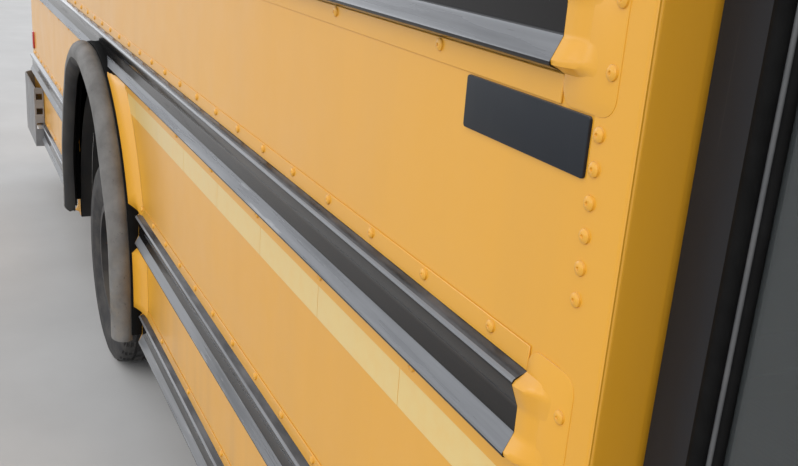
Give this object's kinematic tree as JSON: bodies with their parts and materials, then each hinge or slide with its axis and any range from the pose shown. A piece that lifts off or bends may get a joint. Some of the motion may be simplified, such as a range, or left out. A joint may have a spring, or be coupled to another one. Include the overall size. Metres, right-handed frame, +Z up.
{
  "type": "school bus",
  "caption": "Small yellow school bus on a van cab with twin rear wheels, rub rails, hinged entry and emergency doors, working steering and a hollow cabin with bench seats.",
  "frame": {"origin": "on the ground, midway between the bumper faces and the mirrors", "axes": "+X forward, +Y to the bus's left, +Z up"},
  "size_m": [7.478, 2.86, 2.886],
  "materials": {
    "yellow_paint": "satin enamel, dusty",
    "black_paint": "semi-gloss black enamel",
    "grey_steel": "faded grey paint on pressed steel",
    "chassis_black": "dull black frame paint",
    "wheel_black": "black painted steel disc wheel",
    "tyre": "worn black tyre rubber",
    "fender_rubber": "weathered grey rubber",
    "glass": "lightly tinted safety glass",
    "lamp_clear": "clear ribbed lens",
    "lamp_red": "red moulded lens",
    "lamp_amber": "amber moulded lens",
    "inner_plastic": "grained dark plastic",
    "floor_rubber": "ribbed black floor covering",
    "wheelhouse_black": "black undercoat",
    "seat_vinyl": "dark vinyl upholstery",
    "seat_steel": "painted tube"
  },
  "bodies": {
    "root": {"body_glass": "glass", "cab_floor": "wheelhouse_black", "cab_shell": "yellow_paint", "chassis_frame": "chassis_black", "dashboard": "inner_plastic", "drip_rails": "yellow_paint", "drive_line": "chassis_black", "driver_seat": "seat_vinyl", "exhaust": "chassis_black", "floor": "floor_rubber", "front_axle": "chassis_black", "front_bumper": "black_paint", "front_cap": "yellow_paint", "fuel_tank": "chassis_black", "grille": "inner_plastic", "headlamps": "lamp_clear", "lamps_amber": "lamp_amber", "lamps_red": "lamp_red", "mirrors": "black_paint", "mud_flaps": "fender_rubber", "rail_pressings": "yellow_paint", "rear_axle": "chassis_black", "rear_bumper": "grey_steel", "rear_fenders": "fender_rubber", "rear_wall": "yellow_paint", "rear_wheelhouses": "wheelhouse_black", "roof": "yellow_paint", "rub_rails": "black_paint", "seat_frames": "seat_steel", "seat_pads": "seat_vinyl", "side_wall_left": "yellow_paint", "side_wall_right": "yellow_paint", "springs": "chassis_black", "stop_arm_base": "black_paint", "transition_panels": "yellow_paint", "window_frames": "black_paint"},
    "wheel_rear_left": {"rear_tyres_left": "tyre", "rear_rims_left": "wheel_black"},
    "wheel_rear_right": {"rear_tyres_right": "tyre", "rear_rims_right": "wheel_black"},
    "knuckle_left": {"knuckle_left": "chassis_black"},
    "knuckle_right": {"knuckle_right": "chassis_black"},
    "wheel_front_left": {"front_tyre_left": "tyre", "front_rim_left": "wheel_black"},
    "wheel_front_right": {"front_tyre_right": "tyre", "front_rim_right": "wheel_black"},
    "tie_rod": {"tie_rod": "chassis_black"},
    "steering_wheel": {"steering_wheel": "inner_plastic"},
    "driver_door": {"driver_door": "yellow_paint", "driver_door_glass": "glass"},
    "entry_leaf_rear": {"entry_leaf_rear": "black_paint", "entry_glass_rear": "glass"},
    "entry_leaf_front": {"entry_leaf_front": "black_paint", "entry_glass_front": "glass"},
    "rear_door": {"rear_door": "yellow_paint", "rear_door_glass": "glass"},
    "bonnet": {"bonnet": "yellow_paint"},
    "roof_hatch": {"roof_hatch": "yellow_paint"},
    "stop_arm": {"stop_arm": "lamp_red"}
  },
  "joints": [
    {"name": "rear_wheel_left", "type": "hinge", "parent": "root", "child": "wheel_rear_left", "pos_m": [-1.139, 0.988, 0.372], "axis": [0, 1, 0], "continuous": true},
    {"name": "steer_left", "type": "hinge", "parent": "root", "child": "knuckle_left", "pos_m": [2.899, 0.826, 0.372], "axis": [0, 0, 1], "range_deg": [-32, 32]},
    {"name": "front_wheel_left", "type": "hinge", "parent": "knuckle_left", "child": "wheel_front_left", "pos_m": [2.899, 0.881, 0.372], "axis": [0, 1, 0], "continuous": true},
    {"name": "rear_wheel_right", "type": "hinge", "parent": "root", "child": "wheel_rear_right", "pos_m": [-1.139, -0.988, 0.372], "axis": [0, 1, 0], "continuous": true},
    {"name": "steer_right", "type": "hinge", "parent": "root", "child": "knuckle_right", "pos_m": [2.899, -0.826, 0.372], "axis": [0, 0, 1], "range_deg": [-32, 32]},
    {"name": "front_wheel_right", "type": "hinge", "parent": "knuckle_right", "child": "wheel_front_right", "pos_m": [2.899, -0.881, 0.372], "axis": [0, 1, 0], "continuous": true},
    {"name": "tie_rod_pivot", "type": "hinge", "parent": "knuckle_left", "child": "tie_rod", "pos_m": [2.779, 0.826, 0.33], "axis": [0, 0, 1], "range_deg": [-32, 32]},
    {"name": "steering_wheel_turn", "type": "hinge", "parent": "root", "child": "steering_wheel", "pos_m": [2.48583, 0.48, 1.32104], "axis": [-0.8192, 0, 0.5736], "range_deg": [-512, 512]},
    {"name": "driver_door_hinge", "type": "hinge", "parent": "root", "child": "driver_door", "pos_m": [2.81034, 1.015, 1.2], "axis": [0, 0, 1], "range_deg": [-65, 0]},
    {"name": "entry_rear_hinge", "type": "hinge", "parent": "root", "child": "entry_leaf_rear", "pos_m": [1.68, -1.16, 1.3], "axis": [0, 0, 1], "range_deg": [-88, 0]},
    {"name": "entry_front_hinge", "type": "hinge", "parent": "root", "child": "entry_leaf_front", "pos_m": [2.404, -1.16, 1.3], "axis": [0, 0, 1], "range_deg": [0, 88]},
    {"name": "rear_door_hinge", "type": "hinge", "parent": "root", "child": "rear_door", "pos_m": [-3.679, -0.442, 1.5], "axis": [0, 0, 1], "range_deg": [0, 105]},
    {"name": "bonnet_hinge", "type": "hinge", "parent": "root", "child": "bonnet", "pos_m": [3.024, 0, 1.345], "axis": [0, 1, 0], "range_deg": [-50, 0]},
    {"name": "roof_hatch_hinge", "type": "hinge", "parent": "root", "child": "roof_hatch", "pos_m": [0.04, 0, 2.846], "axis": [0, 1, 0], "range_deg": [0, 80]},
    {"name": "stop_arm_hinge", "type": "hinge", "parent": "root", "child": "stop_arm", "pos_m": [1.762, 1.266, 1.38], "axis": [0, 0, 1], "range_deg": [-90, 0]}
  ],
  "couplings": [
    {"joint": "steer_right", "follows": "steer_left", "ratio": 1},
    {"joint": "tie_rod_pivot", "follows": "steer_left", "ratio": -1},
    {"joint": "steering_wheel_turn", "follows": "steer_left", "ratio": 16}
  ]
}
